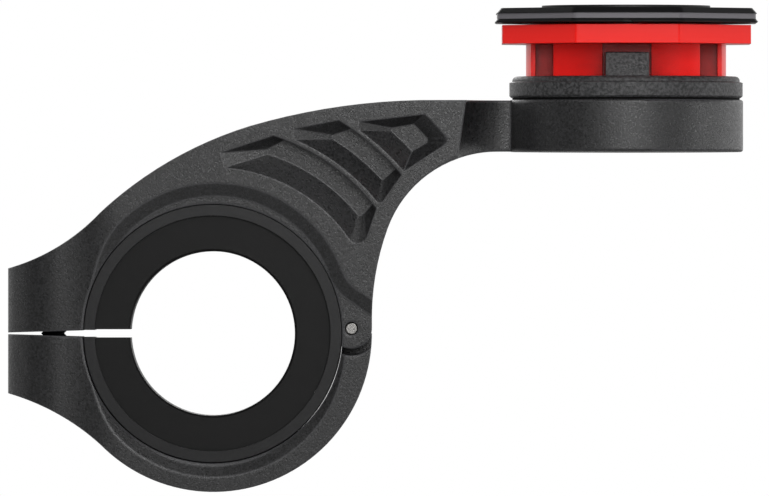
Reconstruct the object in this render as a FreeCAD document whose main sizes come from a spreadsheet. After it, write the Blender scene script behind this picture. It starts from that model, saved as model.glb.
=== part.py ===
# Out-front bike mount: a hinged clamp on a handlebar, an arm with lightening pockets, and a
# twist-lock head that carries a phone in front of the bar.
#
# Frame: the origin is the centre of the bar bore. X points forward to the head, Y runs along
# the handlebar and Z is up. All sizes are in millimetres and angles in degrees.

import FreeCAD, Part
import math
import os
import re
import Sketcher

document = FreeCAD.newDocument("out_front_mount")

# Driving dimensions: name, value, meaning.
DRIVING = [
    ("clamp_diameter", 35.0, "bare bore of the two jaws"),
    ("outer_shim_wall", 1.6, "wall of the outer shim"),
    ("inner_shim_wall", 4.8, "wall of the inner shim"),
    ("clamp_width", 18.0, "jaws, face to face along the bar"),
    ("jaw_wall", 4.0, "wall of the lower jaw round the bore"),
    ("jaw_thinning", 0.12, "lower jaw's wall thinner below than in front"),
    ("jaw_clearance", 0.05, "lower jaw to outer shim"),
    ("outer_shim_inset", 1.0, "outer shim's ends inside the jaw faces"),
    ("inner_shim_inset", 1.4, "inner shim's ends inside the jaw faces"),
    ("rim_drop", 1.0, "bore rim below the jaw faces"),
    ("arm_cove_rise", 2.0, "centre of the arm's cove above the bore's"),
    ("arm_cove_shift", 0.35, "centre of the arm's cove in front of the bore's"),
    ("arm_cove_margin", 0.8, "arm's cove beyond the bore radius"),
    ("arm_cove_run", 1.75, "width of the arm's cove"),
    ("arm_cove_bend", 5.0, "bend where the cove turns out over the hinge"),
    ("arm_cove_foot", 4.0, "reach of the cut below the bore axis"),
    ("jaw_cove_fall", 1.5, "centre of the lower jaw's cove below the bore's"),
    ("jaw_cove_margin", 0.4, "lower jaw's cove beyond the bore radius"),
    ("jaw_cove_run", 1.5, "radial width of the lower jaw's cove"),
    ("outer_shim_slot", 0.95, "split in the outer shim"),
    ("inner_shim_slot", 1.14, "split in the inner shim"),
    ("outer_shim_chamfer", 0.15, "bevel on the outer shim's rims"),
    ("inner_shim_chamfer", 0.3, "bevel on the inner shim's bore"),
    ("gap_tip", 0.24, "gap between the ears at their tips"),
    ("gap_root", 0.84, "gap between the ears at the bore"),
    ("bolt_offset", 4.06, "clamp bolt axis outside the bore"),
    ("ear_nose", 6.14, "ear beyond the bolt axis"),
    ("ear_inset", 1.2, "ear's sides inside the jaw faces"),
    ("nose_flat", 5.55, "flat at the ear's nose"),
    ("ear_blend_radius", 14.0, "curves from the ear to the wide body"),
    ("upper_ear_height", 8.8, "top of the upper ear's tip"),
    ("lower_ear_height", 8.1, "bottom of the lower ear's tip"),
    ("ear_sweep_radius", 27.0, "hollow curve from the upper ear to the body"),
    ("lower_sweep_radius", 31.0, "hollow curve from the lower ear to the body"),
    ("shoulder_wall", 4.78, "arm outside the bore at the shoulder"),
    ("shoulder_angle", 133.0, "direction of the shoulder from the bore"),
    ("brow_wall", 10.92, "arm outside the bore at the brow"),
    ("brow_angle", 79.9, "direction of the brow from the bore"),
    ("shoulder_radius", 52.0, "top curve from shoulder to brow"),
    ("brow_radius", 87.0, "top curve from brow to the flat top"),
    ("arm_rise", 14.0, "flat top above the bore"),
    ("crest_setback", 25.2, "start of the flat top behind the head axis"),
    ("under_foot", 2.03, "foot of the hollow under the arm, above the bore axis"),
    ("under_radius", 35.84, "lower curve of the hollow"),
    ("under_turn", 19.93, "angle of the lower curve"),
    ("neck_height", 6.9, "neck from underside to flat top"),
    ("hinge_offset", 1.25, "hinge pin axis outside the bore"),
    ("hinge_height", 0.66, "hinge pin axis above the bore axis"),
    ("hinge_gap", 0.88, "gap round the knuckles"),
    ("slot_relief", 0.1, "extra radius in the arm's tongue slot"),
    ("pin_diameter", 1.8, "hinge pin"),
    ("pin_clearance", 0.03, "pin to the tongue's hole"),
    ("pin_recess", 0.2, "pin ends below the knuckle faces"),
    ("pin_chamfer", 0.2, "bevel on the pin's ends"),
    ("tongue_width", 7.0, "central tongue of the lower jaw"),
    ("tongue_side_gap", 0.1, "tongue to each arm knuckle"),
    ("recess_height", 4.5, "cove's edge at the front of the hinge, above the bore axis"),
    ("recess_slope", 34.0, "fall of the cove's edge over the hinge"),
    ("hinge_swing", 60.0, "opening of the lower jaw"),
    ("bolt_diameter", 3.5, "clamp bolt shank at half thread depth"),
    ("bolt_clearance", 0.08, "bolt to its hole in the lower ear"),
    ("bolt_length", 9.4, "clamp bolt below its head"),
    ("bolt_head_diameter", 7.0, "clamp bolt head"),
    ("bolt_head_height", 4.0, "clamp bolt head"),
    ("bolt_socket", 3.0, "hexagon socket across flats"),
    ("bolt_socket_depth", 2.0, "hexagon socket"),
    ("bolt_seat", 4.4, "washer seat below the bore axis"),
    ("counterbore_clearance", 0.4, "counterbore round the bolt head"),
    ("washer_thickness", 0.6, "clamp washer"),
    ("insert_diameter", 6.0, "threaded insert"),
    ("insert_bore", 4.0, "bore of the insert, clear of the bolt's swing"),
    ("insert_length", 5.0, "threaded insert"),
    ("insert_recess", 0.1, "insert inside the upper ear's gap face"),
    ("head_reach", 55.9, "head axis in front of the bar"),
    ("housing_diameter", 31.7, "round housing at the arm's end"),
    ("housing_rise", 0.1, "housing proud of the neck, above"),
    ("housing_drop", 0.05, "housing proud of the neck, below"),
    ("housing_round", 0.35, "housing edges"),
    ("scoop_radius", 6.4, "hollow that narrows the neck"),
    ("scoop_setback", 15.7, "scoop axis behind the head axis"),
    ("neck_width", 5.8, "neck between the two scoops"),
    ("scoop_tilt", 8.0, "lean of the scoop"),
    ("gasket_thickness", 0.25, "head gasket"),
    ("gasket_inset", 0.45, "gasket edge inside the housing"),
    ("gasket_bore", 1.2, "gasket clear of the spigot's flats"),
    ("base_height", 2.9, "head base ring"),
    ("base_inset", 0.05, "head base inside the housing's radius"),
    ("base_round", 0.6, "top edge of the head base"),
    ("base_foot", 0.25, "bevel at the foot of the head base"),
    ("base_shelf", 0.4, "step round the top of the head base"),
    ("base_shelf_height", 2.05, "step above the base's underside"),
    ("base_shelf_fall", 0.12, "fall of the step"),
    ("base_floor", 1.15, "floor of the head base"),
    ("base_wall", 1.95, "wall round the sleeve's pads"),
    ("spigot_depth", 2.2, "octagonal spigot below the base"),
    ("spigot_margin", 7.85, "spigot's flats inside the housing"),
    ("spigot_clearance", 0.05, "spigot to its recess"),
    ("tab_width", 5.8, "upright tabs of the head base"),
    ("tab_height", 3.2, "tabs above the ring"),
    ("tab_depth", 4.85, "inner face of each tab inside the ring's opening"),
    ("tab_gap", 1.18, "flange above the tabs"),
    ("tab_foot", 0.2, "tabs let into the ring's wall"),
    ("post_share", 0.705, "post, as a share of the spring space"),
    ("core_bolt_share", 0.4455, "core bolt, as a share of the post"),
    ("cap_screw_share", 0.709, "circle of the cap screws, as a share of the post"),
    ("tab_chamfer", 0.15, "bevel on the tab tops"),
    ("core_bolt_length", 12.2, "below its head"),
    ("core_head_diameter", 8.0, "head of the core bolt"),
    ("core_head_height", 2.5, "head of the core bolt"),
    ("core_socket", 3.0, "hexagon socket across flats"),
    ("core_socket_depth", 1.3, "hexagon socket"),
    ("core_counterbore_depth", 3.3, "recess under the housing"),
    ("core_washer_thickness", 0.6, "washer under the core bolt"),
    ("sleeve_clearance", 0.06, "sleeve to post"),
    ("barrel_clearance", 1.45, "barrel inside the ring's opening"),
    ("tab_cover", 0.8, "barrel's front and back flats outside the tabs' inner faces"),
    ("barrel_curve", 18.0, "radius of the barrel's front and back"),
    ("sleeve_wall", 1.0, "wall between the spring space and the tab slots"),
    ("sleeve_gap", 1.45, "barrel's foot above the base floor"),
    ("sleeve_web", 2.5, "web over the spring"),
    ("sleeve_slot_clearance", 0.4, "tab slots wider than the tabs, each side"),
    ("sleeve_slot_floor", 0.2, "tab slots behind the tabs"),
    ("lobe_inset", 2.5, "flat ends of the lobes inside the barrel's round"),
    ("pad_clearance", 0.3, "side pads inside the ring's opening"),
    ("pad_thickness", 1.25, "side pads"),
    ("pad_half_width", 4.2, "half width of the side pads"),
    ("pad_web_half_width", 3.0, "web that carries each pad"),
    ("flange_thickness", 2.52, "octagonal flange"),
    ("boss_diameter", 26.4, "low boss on the flange"),
    ("boss_height", 0.25, "low boss on the flange"),
    ("plate_gap", 0.05, "sleeve to cap plate"),
    ("spring_wire", 0.9, "spring wire"),
    ("spring_end_gap", 0.04, "spring to each seat"),
    ("spring_pitch", 1.55, "rise of each turn"),
    ("lip_width", 35.5, "lip of the cap plate across flats"),
    ("lip_height", 0.53, "lip of the cap plate"),
    ("lip_edge_height", 0.14, "sharpest part of the lip above its underside"),
    ("lip_under_inset", 0.15, "underside inside the lip's edge"),
    ("band_height", 0.73, "band of the cap plate"),
    ("band_inset", 0.3, "band inside the lip"),
    ("bevel_inset", 0.15, "foot of the bevel inside the lip"),
    ("top_inset", 0.8, "flat top inside the lip"),
    ("plate_chamfer_height", 0.74, "bevel round the top"),
    ("plate_corner_round", 1.2, "corners of the octagon"),
    ("notch_radius", 1.1, "round notch in the front lip"),
    ("notch_sink", 0.65, "notch axis below the lip"),
    ("notch_depth", 1.5, "notch into the front of the lip"),
    ("disc_diameter", 22.8, "disc on the cap plate"),
    ("disc_proud", 0.4, "disc above the plate"),
    ("disc_recess", 0.5, "recess under the disc"),
    ("disc_clearance", 0.1, "disc to its recess"),
    ("cap_screw_diameter", 1.6, "cap screw shank"),
    ("cap_screw_length", 4.0, "cap screw below its head"),
    ("cap_head_diameter", 3.0, "cap screw head"),
    ("cap_head_height", 0.8, "cap screw head"),
    ("cap_slot_width", 0.5, "driver slot in the cap screws"),
    ("cap_slot_depth", 0.4, "driver slot in the cap screws"),
    ("flange_corner_round", 0.5, "corners of the flange"),
    ("flange_inset", 0.95, "flange's flats inside the cap plate's lip"),
    ("tip_clearance", 0.5, "drilled holes beyond the screws in them"),
    ("pocket_depth", 1.9, "lightening pockets below the arm's face"),
    ("rear_face_heel_round", 1.5, "round lower corner of the rear pocket, at the face"),
    ("rear_floor_heel_round", 0.6, "the same at the floor"),
    ("middle_face_heel_round", 0.6, "round lower corner of the middle pocket, at the face"),
    ("middle_floor_heel_round", 0.35, "the same at the floor"),
    ("front_face_heel_round", 0.8, "round corner of the front pocket, at the face"),
    ("front_floor_heel_round", 0.6, "the same at the floor"),
]

# Corners of the three pockets as angle and radius about the bore axis, at the arm's face and
# at the pocket's floor, each radius measured outward from the bare bore. The order runs round
# the pocket: lower and upper end of the blunt tip, crown, and three corners of the heel.
CORNERS = ("tip_low", "tip_high", "crown", "heel_high", "heel_mid", "heel_low")
POCKETS = {
    "rear": {
        "face": ((86.0, 4.9), (87.6, 6.9), (73.0, 10.4), (37.3, 10.3), (31.7, 6.9), (33.9, 4.9)),
        "floor": ((72.9, 7.8), (73.6, 8.4), (69.5, 10.4), (39.0, 10.3), (38.3, 8.4), (39.6, 7.8)),
    },
    "middle": {
        "face": ((67.2, 10.9), (68.4, 12.2), (59.5, 15.9), (40.0, 15.8), (37.8, 11.6), (38.8, 10.9)),
        "floor": ((58.3, 13.35), (58.9, 13.8), (55.8, 15.9), (42.0, 15.8), (42.0, 13.7), (42.4, 13.35)),
    },
    "front": {
        "face": ((54.3, 16.3), (55.4, 17.2), (45.9, 23.7), (40.0, 23.7), (39.1, 22.8), (40.3, 16.3)),
        "floor": ((48.5, 18.95), (49.0, 19.3), (46.2, 21.7), (42.4, 21.7), (41.7, 21.1), (42.4, 18.95)),
    },
}

# Corner of each pocket that starts its rounded side.
ROUND_FROM = {"rear": "heel_mid", "middle": "heel_mid", "front": "heel_high"}

# Sizes that follow from the driving ones: name, formula.
WORKED = [
    ("clamp_radius", "clamp_diameter / 2"),
    ("step_diameter", "clamp_diameter - 2 * outer_shim_wall"),
    ("bar_diameter", "step_diameter - 2 * inner_shim_wall"),
    ("outer_shim_width", "clamp_width - 2 * outer_shim_inset"),
    ("inner_shim_width", "clamp_width - 2 * inner_shim_inset"),
    ("jaw_bore_radius", "clamp_radius + jaw_clearance"),
    ("jaw_radius", "clamp_radius + jaw_wall"),
    ("jaw_round", "jaw_radius - jaw_thinning"),
    ("half_width", "clamp_width / 2"),
    ("bolt_x", "-(clamp_radius + bolt_offset)"),
    ("ear_x", "bolt_x - ear_nose"),
    ("ear_half_width", "half_width - ear_inset"),
    ("nose_tip_y", "nose_flat / 2"),
    ("nose_x", "ear_x + sqrt(ear_half_width ^ 2 - nose_tip_y ^ 2)"),
    ("blend_rise", "half_width - ear_half_width"),
    ("blend_run", "sqrt(ear_blend_radius * blend_rise - blend_rise ^ 2 / 4)"),
    ("shoulder_x", "(clamp_radius + shoulder_wall) * cos(shoulder_angle)"),
    ("shoulder_z", "(clamp_radius + shoulder_wall) * sin(shoulder_angle)"),
    ("brow_x", "(clamp_radius + brow_wall) * cos(brow_angle)"),
    ("brow_z", "(clamp_radius + brow_wall) * sin(brow_angle)"),
    ("top_z", "clamp_radius + arm_rise"),
    ("crest_x", "head_reach - crest_setback"),
    ("neck_z", "top_z - neck_height"),
    ("under_joint_x", "jaw_radius + under_radius * (1 - cos(under_turn))"),
    ("under_joint_z", "under_foot + under_radius * sin(under_turn)"),
    ("under_top_radius", "(neck_z - under_joint_z) / (1 - sin(under_turn))"),
    ("under_x", "under_joint_x + under_top_radius * cos(under_turn)"),
    ("hinge_x", "clamp_radius + hinge_offset"),
    ("knuckle_radius", "jaw_radius - hinge_x"),
    ("seat_radius", "knuckle_radius + hinge_gap"),
    ("knuckle_y", "half_width - rim_drop"),
    ("cove_radius", "clamp_radius + arm_cove_margin"),
    ("cove_end_x", "jaw_radius + knuckle_radius"),
    ("bend_lift", "(jaw_radius - arm_cove_shift) * sin(recess_slope) + (recess_height - arm_cove_rise) * cos(recess_slope) + arm_cove_bend"),
    ("bend_reach", "sqrt((cove_radius + arm_cove_bend) ^ 2 - bend_lift ^ 2)"),
    ("bend_x", "arm_cove_shift + sin(recess_slope) * bend_lift + cos(recess_slope) * bend_reach"),
    ("bend_z", "arm_cove_rise + cos(recess_slope) * bend_lift - sin(recess_slope) * bend_reach"),
    ("bolt_head_z", "-bolt_seat - washer_thickness"),
    ("insert_z", "gap_root / 2 + insert_recess"),
    ("housing_radius", "housing_diameter / 2"),
    ("housing_top", "top_z + housing_rise"),
    ("housing_bottom", "neck_z - housing_drop"),
    ("scoop_x", "head_reach - scoop_setback"),
    ("scoop_y", "scoop_radius + neck_width / 2"),
    ("scoop_length", "neck_height * 3"),
    ("base_radius", "housing_radius - base_inset"),
    ("base_z", "housing_top + gasket_thickness"),
    ("floor_z", "base_z + base_floor"),
    ("ring_top", "base_z + base_height"),
    ("opening_radius", "base_radius - base_wall"),
    ("spigot_width", "housing_diameter - 2 * spigot_margin"),
    ("tab_inner", "opening_radius - tab_depth"),
    ("barrel_radius", "opening_radius - barrel_clearance"),
    ("sleeve_flats", "2 * (tab_inner + tab_cover)"),
    ("lobe_half_width", "barrel_radius - lobe_inset"),
    ("pad_reach", "opening_radius - pad_clearance"),
    ("pad_inner", "pad_reach - pad_thickness"),
    ("slot_y", "tab_inner - sleeve_slot_floor"),
    ("spring_space_radius", "slot_y - sleeve_wall"),
    ("core_diameter", "2 * spring_space_radius * post_share"),
    ("core_bolt_diameter", "core_diameter * core_bolt_share"),
    ("cap_screw_circle", "core_diameter * cap_screw_share"),
    ("spring_radius", "(core_diameter / 2 + spring_space_radius) / 2"),
    ("flange_width", "lip_width - 2 * flange_inset"),
    ("core_seat_z", "housing_bottom + core_counterbore_depth"),
    ("core_head_z", "core_seat_z - core_washer_thickness"),
    ("sleeve_z", "floor_z + sleeve_gap"),
    ("flange_z", "ring_top + tab_height + tab_gap"),
    ("flange_top", "flange_z + flange_thickness"),
    ("boss_top", "flange_top + boss_height"),
    ("web_z", "boss_top - sleeve_web"),
    ("plate_z", "boss_top + plate_gap"),
    ("band_z", "plate_z + lip_height"),
    ("bevel_z", "band_z + band_height"),
    ("plate_top", "bevel_z + plate_chamfer_height"),
    ("disc_z", "plate_top - disc_recess"),
    ("cap_seat_z", "disc_z - cap_head_height"),
    ("spring_z", "floor_z + spring_end_gap + spring_wire / 2"),
    ("spring_rise", "web_z - spring_end_gap - spring_wire / 2 - spring_z"),
]

ALONG_Y = FreeCAD.Rotation(FreeCAD.Vector(1, 0, 0), -90)
UPRIGHT = FreeCAD.Rotation()
BEYOND = "1"    # how far a cutting tool reaches past the face that it cuts

sheet_of = {row[0]: "Driving." for row in DRIVING}


def fill_sheet(name, rows):
    """A spreadsheet with one named cell for each row of name, content and meaning."""
    sheet = document.addObject("Spreadsheet::Sheet", name)
    for number, (alias, content, *meaning) in enumerate(rows, 1):
        sheet.set(f"A{number}", alias)
        sheet.set(f"B{number}", content)
        sheet.setAlias(f"B{number}", alias)
        sheet.set(f"C{number}", " ".join(meaning))
    return sheet


def named(expression):
    """The expression with each size in it spelled as a cell of its sheet."""
    return re.sub(r"[a-z][a-z_0-9]*", lambda word: sheet_of.get(word[0], "") + word[0], expression)


def value(expression):
    """What an expression comes to with the present sizes."""
    return float(worked.evalExpression(named(expression)))


def bind(thing, prop, expression):
    """Tie a property of an object to the sheets."""
    thing.setExpression(prop, named(expression))


def place(thing, x="0", y="0", z="0", rotation=UPRIGHT):
    """Turn an object and tie its position to the sheets."""
    thing.Placement = FreeCAD.Placement(FreeCAD.Vector(), rotation)
    for axis, expression in zip("xyz", (x, y, z)):
        bind(thing, f"Placement.Base.{axis}", expression)


def new_body(name):
    return document.addObject("PartDesign::Body", name)


def new_sketch(body, name, role, offset="0"):
    """An empty sketch on one of the body's own planes, or parallel to it."""
    plane = next(item for item in body.Origin.OriginFeatures if item.Role == role)
    sketch = body.newObject("Sketcher::SketchObject", name)
    sketch.AttachmentSupport = [(plane, "")]
    sketch.MapMode = "FlatFace"
    bind(sketch, "AttachmentOffset.Base.z", offset)
    return sketch


def constrain(sketch, kind, *where, size=None):
    """Add a constraint, tied to the sheets if it has a size."""
    if size is None:
        sketch.addConstraint(Sketcher.Constraint(kind, *where))
        return
    index = sketch.addConstraint(Sketcher.Constraint(kind, *where, value(size)))
    bind(sketch, f"Constraints[{index}]", size)


def arc_between(start, end, radius, turn):
    """The shorter arc from start to end; turn is 1 where it bends left and -1 for right."""
    chord = end - start
    left = FreeCAD.Vector(-chord.y, chord.x, 0).normalize()
    centre = (start + end) / 2 + left * turn * math.sqrt(radius ** 2 - (chord.Length / 2) ** 2)
    first, last = (start, end) if turn > 0 else (end, start)
    angles = [math.atan2(point.y - centre.y, point.x - centre.x) for point in (first, last)]
    return Part.ArcOfCircle(Part.Circle(centre, FreeCAD.Vector(0, 0, 1), radius), *angles)


def outline(body, name, role, corners, arcs=None, offset="0"):
    """A closed sketch through corners. arcs gives radius and turn of each side that is an arc."""
    sketch = new_sketch(body, name, role, offset)
    arcs = arcs or {}
    points = [FreeCAD.Vector(value(across), value(up), 0) for across, up in corners]
    ends = []
    for side, start in enumerate(points):
        end = points[(side + 1) % len(points)]
        if side in arcs:
            radius, turn = arcs[side]
            sketch.addGeometry(arc_between(start, end, value(radius), turn), False)
            ends.append((1, 2) if turn > 0 else (2, 1))
        else:
            sketch.addGeometry(Part.LineSegment(start, end), False)
            ends.append((1, 2))
    for side, (across, up) in enumerate(corners):
        before = side - 1 if side else len(corners) - 1
        constrain(sketch, "Coincident", before, ends[before][1], side, ends[side][0])
        constrain(sketch, "DistanceX", -1, 1, side, ends[side][0], size=across)
        constrain(sketch, "DistanceY", -1, 1, side, ends[side][0], size=up)
    for side, (radius, turn) in arcs.items():
        constrain(sketch, "Radius", side, size=radius)
    return sketch


def circles(body, name, role, radii, centre=("0", "0"), offset="0"):
    """A sketch of one circle, or of two about one centre for a ring."""
    sketch = new_sketch(body, name, role, offset)
    middle = FreeCAD.Vector(value(centre[0]), value(centre[1]), 0)
    for index, radius in enumerate(radii):
        circle = Part.Circle(middle, FreeCAD.Vector(0, 0, 1), value(radius))
        sketch.addGeometry(circle, False)
        constrain(sketch, "Radius", index, size=radius)
        constrain(sketch, "DistanceX", -1, 1, index, 3, size=centre[0])
        constrain(sketch, "DistanceY", -1, 1, index, 3, size=centre[1])
    return sketch


def octagon(body, name, width, corner_round, offset):
    """An octagon with rounded corners, its flats facing the X and Y axes."""
    corners, arcs = [], {}
    half_flat = f"(({width}) / 2 - {corner_round}) * tan(22.5)"
    for facing in range(0, 360, 45):
        for side in ("-", "+"):
            across = f"({width}) / 2 * cos({facing}) {'+' if side == '-' else '-'} {half_flat} * sin({facing})"
            up = f"({width}) / 2 * sin({facing}) {side} {half_flat} * cos({facing})"
            corners.append((across, up))
        arcs[len(corners) - 1] = (corner_round, 1)
    return outline(body, name, "XY_Plane", corners, arcs, offset)


def pad(body, sketch, length, both_ways=False, downwards=False):
    """Thicken a sketch, to one side or equally to both."""
    feature = body.newObject("PartDesign::Pad", sketch.Name + "_pad")
    feature.Profile = sketch
    feature.SideType = "Symmetric" if both_ways else "One side"
    feature.Reversed = downwards
    bind(feature, "Length", length)
    sketch.Visibility = False
    return feature


def revolve(body, sketch):
    """Turn a sketch about its own upright axis."""
    feature = body.newObject("PartDesign::Revolution", sketch.Name + "_turned")
    feature.Profile = sketch
    feature.ReferenceAxis = (sketch, ["V_Axis"])
    feature.Angle = 360
    return feature


def cylinder(name, radius, height, x="0", y="0", z="0", rotation=UPRIGHT):
    solid = document.addObject("Part::Cylinder", name)
    bind(solid, "Radius", radius)
    bind(solid, "Height", height)
    place(solid, x, y, z, rotation)
    return solid


def cross_cylinder(name, radius, length, x="0", z="0"):
    """A cylinder along the bar's direction, centred on the middle plane."""
    return cylinder(name, radius, length, x, f"-({length}) / 2", z, ALONG_Y)


def block(name, x, y, z):
    """A box between the two ends given for each axis."""
    solid = document.addObject("Part::Box", name)
    for prop, (low, high) in zip(("Length", "Width", "Height"), (x, y, z)):
        bind(solid, prop, f"({high}) - ({low})")
    place(solid, x[0], y[0], z[0])
    return solid


def mirrored(solid):
    """The same solid on the other side of the middle plane."""
    copy = document.addObject("Part::Mirroring", solid.Name + "_back")
    copy.Source = solid
    copy.Normal = FreeCAD.Vector(0, 1, 0)
    return copy


def fuse(name, *solids):
    joined = document.addObject("Part::MultiFuse", name)
    joined.Shapes = list(solids)
    return joined


def common(name, base, tool):
    shared = document.addObject("Part::Common", name)
    shared.Base = base
    shared.Tool = tool
    return shared


def cut(name, base, *tools):
    remainder = document.addObject("Part::Cut", name)
    remainder.Base = base
    remainder.Tool = tools[0] if len(tools) == 1 else fuse(name + "_tools", *tools)
    return remainder


def screw(name, head_radius, head_height, radius, length, socket=None, socket_depth=None):
    """A screw along Z with its head below the origin plane and its shank above."""
    body = new_body(name)
    head = circles(body, name + "_head", "XY_Plane", [head_radius])
    pad(body, head, head_height, downwards=True)
    shank = circles(body, name + "_shank", "XY_Plane", [radius])
    pad(body, shank, length)
    if socket:
        corners = [(f"{socket} / sqrt(3) * cos({angle})", f"{socket} / sqrt(3) * sin({angle})")
                   for angle in range(0, 360, 60)]
        hexagon = outline(body, name + "_hexagon", "XY_Plane", corners, offset=f"-({head_height})")
        recess = body.newObject("PartDesign::Pocket", name + "_socket")
        recess.Profile = hexagon
        recess.Reversed = True
        bind(recess, "Length", socket_depth)
    return body


def plan_outline():
    """Both jaws seen from above: round ear nose, hollow blend and straight wide body."""
    body = new_body("plan")
    blend_y = "ear_half_width + blend_rise / 2"
    corners = [
        ("ear_x", "-nose_tip_y"),
        ("nose_x", "-ear_half_width"),
        ("nose_x + blend_run", f"-({blend_y})"),
        ("nose_x + 2 * blend_run", "-half_width"),
        ("head_reach", "-half_width"),
        ("head_reach", "half_width"),
        ("nose_x + 2 * blend_run", "half_width"),
        ("nose_x + blend_run", blend_y),
        ("nose_x", "ear_half_width"),
        ("ear_x", "nose_tip_y"),
    ]
    arcs = {
        0: ("ear_half_width", 1),
        1: ("ear_blend_radius", -1),
        2: ("ear_blend_radius", 1),
        6: ("ear_blend_radius", 1),
        7: ("ear_blend_radius", -1),
        8: ("ear_half_width", 1),
    }
    pad(body, outline(body, "plan_outline", "XY_Plane", corners, arcs), "4 * top_z", both_ways=True)
    return body


def cove(name, radius, run, height):
    """A sloped step round the bore, from the jaw face down to the rim, on both faces."""
    front = document.addObject("Part::Cone", name)
    bind(front, "Radius1", f"{radius} + {run}")
    bind(front, "Radius2", f"{radius} - {run}")
    bind(front, "Height", "2 * rim_drop")
    place(front, y="-half_width - rim_drop", z=height, rotation=ALONG_Y)
    return front, mirrored(front)


def pocket_tool(name, corners):
    """A lightening pocket: its outline at the arm's face lofted down to its floor."""
    body = new_body(name)
    sketches = []
    for level, offset in (("face", "half_width"), ("floor", "half_width - pocket_depth")):
        points = []
        for corner in CORNERS:
            key = f"{name}_{level}_{corner}"
            points.append((f"(clamp_radius + {key}_out) * cos({key}_angle)",
                           f"(clamp_radius + {key}_out) * sin({key}_angle)"))
        arcs = {
            2: (f"clamp_radius + {name}_{level}_crown_out", -1),
            5: (f"clamp_radius + {name}_{level}_tip_low_out", 1),
            CORNERS.index(ROUND_FROM[name]): (f"{name}_{level}_heel_round", -1),
        }
        sketches.append(outline(body, f"{name}_{level}", "XZ_Plane", points, arcs, offset))
    loft = body.newObject("PartDesign::AdditiveLoft", name + "_loft")
    loft.Profile = sketches[0]
    loft.Sections = [sketches[1]]
    loft.Ruled = True
    return body


def arm_cove():
    """What is cut from the arm's face round the bore and over the hinge, with a sloped edge.

    The edge runs over the bore as a circle, bends the other way and falls straight across the
    hinge. At the floor it lies inward by the cove's run.
    """
    body = new_body("arm_cove")
    sketches = []
    for level, inset, offset in (("face", "0", "half_width"), ("floor", "arm_cove_run", "knuckle_y")):
        radius = f"(cove_radius - {inset})"
        share = f"{radius} / (cove_radius + arm_cove_bend)"
        bend = f"(arm_cove_bend + {inset})"
        turn_x = f"(bend_x - {bend} * sin(recess_slope))"
        turn_z = f"(bend_z - {bend} * cos(recess_slope))"
        corners = [
            (f"arm_cove_shift - {radius}", "arm_cove_rise"),
            ("arm_cove_shift", f"arm_cove_rise + {radius}"),
            (f"arm_cove_shift + (bend_x - arm_cove_shift) * {share}",
             f"arm_cove_rise + (bend_z - arm_cove_rise) * {share}"),
            (turn_x, turn_z),
            ("cove_end_x", f"{turn_z} - (cove_end_x - {turn_x}) * tan(recess_slope)"),
            ("cove_end_x", "-arm_cove_foot"),
            (f"arm_cove_shift - {radius}", "-arm_cove_foot"),
        ]
        arcs = {0: (radius, -1), 1: (radius, -1), 2: (bend, 1)}
        sketches.append(outline(body, "arm_cove_" + level, "XZ_Plane", corners, arcs, offset))
    loft = body.newObject("PartDesign::AdditiveLoft", "arm_cove_loft")
    loft.Profile = sketches[0]
    loft.Sections = [sketches[1]]
    loft.Ruled = True
    return body, mirrored(body)


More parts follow.
